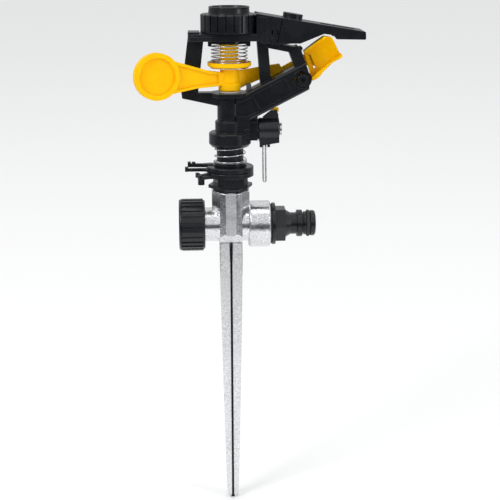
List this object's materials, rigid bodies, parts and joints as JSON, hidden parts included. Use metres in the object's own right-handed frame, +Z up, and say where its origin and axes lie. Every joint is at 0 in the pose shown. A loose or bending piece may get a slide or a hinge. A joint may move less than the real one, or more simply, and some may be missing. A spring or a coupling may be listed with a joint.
{
  "type": "impact sprinkler on a ground spike",
  "caption": "Impact sprinkler: black plastic head with yellow rocker arm, deflector flap and trip collars, on a die-cast flow-through ground spike with a hose nipple.",
  "frame": {"origin": "on the spike's axis at the ground line, where the blade meets the casting above it", "axes": "+Z up along the spike, the head's bearing and the rocker arm's pin; +X along the hose nipple and, at rest, under the nozzle; +Y to the back, away from the diffuser knob"},
  "size_m": [0.137, 0.0401, 0.316],
  "materials": {
    "zinc_casting": "bright die-cast zinc with a fine grain, polished ridges and matt recesses",
    "black_plastic": "satin moulded black plastic",
    "grey_plastic": "satin dark grey plastic",
    "yellow_plastic": "smooth moulded yellow plastic",
    "white_plastic": "smooth slippery plastic",
    "bright_steel": "bright drawn steel wire and pins",
    "black_rubber": "matt black rubber"
  },
  "bodies": {
    "ground_part": {"spike_body": "zinc_casting", "hose_connector": "black_plastic", "connector_washer": "black_rubber", "connector_o_ring": "black_rubber", "bearing_nut": "black_plastic", "socket_washer": "black_rubber", "friction_washer": "white_plastic", "spring_washer": "bright_steel", "bearing_spring": "bright_steel"},
    "cap_seal": {"end_cap_washer": "black_rubber"},
    "end_cap": {"end_cap": "black_plastic"},
    "lower_collar": {"lower_collar": "black_plastic"},
    "upper_collar": {"upper_collar": "black_plastic"},
    "head": {"head_body": "black_plastic", "bearing_stem": "white_plastic", "stem_seal": "black_rubber", "bearing_sleeve": "black_plastic", "nozzle_insert": "yellow_plastic", "stream_vane": "white_plastic", "arm_pivot_pin": "bright_steel", "arm_washer": "white_plastic", "arm_spring": "bright_steel", "trip_pivot_pin": "bright_steel", "trip_spring": "bright_steel"},
    "arm": {"rocker_arm": "yellow_plastic"},
    "tension_cap": {"tension_cap": "black_plastic"},
    "flap": {"deflector_flap": "black_plastic"},
    "diffuser": {"diffuser_knob": "black_plastic"},
    "trip": {"trip_lever": "black_plastic", "trip_wire": "bright_steel", "trip_dog": "yellow_plastic"},
    "reverse_dog": {"reverse_dog": "grey_plastic"}
  },
  "joints": [
    {"name": "head_spin", "type": "hinge", "parent": "ground_part", "child": "head", "pos_m": [0, 0, 0.0536], "axis": [0, 0, 1], "range_deg": [-118, 150]},
    {"name": "arm_swing", "type": "hinge", "parent": "head", "child": "arm", "pos_m": [0, 0, 0.11], "axis": [0, 0, 1], "range_deg": [0, 100], "stiffness_Nm_per_rad": 0.004, "springref_deg": -57.3},
    {"name": "tension_cap_turn", "type": "hinge", "parent": "head", "child": "tension_cap", "pos_m": [0, 0, 0.1311], "axis": [0, 0, 1], "range_deg": [0, 180]},
    {"name": "flap_tilt", "type": "hinge", "parent": "head", "child": "flap", "pos_m": [0.0254, 0, 0.1273], "axis": [0, 1, 0], "range_deg": [-1.5, 2]},
    {"name": "diffuser_turn", "type": "hinge", "parent": "head", "child": "diffuser", "pos_m": [0.043, -0.0098, 0.1043], "axis": [0, 1, 0], "range_deg": [0, 90]},
    {"name": "trip_swing", "type": "hinge", "parent": "head", "child": "trip", "pos_m": [0.0232, 0, 0.0734], "axis": [1, 0, 0], "range_deg": [0, 20]},
    {"name": "reverse_dog_drop", "type": "slide", "parent": "head", "child": "reverse_dog", "axis": [0, 0, -1], "range_m": [0, 0.0022]},
    {"name": "lower_collar_turn", "type": "hinge", "parent": "ground_part", "child": "lower_collar", "pos_m": [0, 0, 0.0467], "axis": [0, 0, 1], "range_deg": [-150, 112]},
    {"name": "upper_collar_turn", "type": "hinge", "parent": "ground_part", "child": "upper_collar", "pos_m": [0, 0, 0.0499], "axis": [0, 0, 1], "range_deg": [-150, 140]},
    {"name": "end_cap_travel", "type": "slide", "parent": "ground_part", "child": "cap_seal", "axis": [-1, 0, 0], "range_m": [0, 0.00816]},
    {"name": "end_cap_turn", "type": "hinge", "parent": "cap_seal", "child": "end_cap", "pos_m": [-0.0236, 0, 0.0145], "axis": [-1, 0, 0], "range_deg": [0, 1620]}
  ],
  "couplings": [
    {"joint": "reverse_dog_drop", "follows": "trip_swing", "m_per_rad": 0.0062962},
    {"joint": "end_cap_turn", "follows": "end_cap_travel", "rad_per_m": 3463.4}
  ]
}
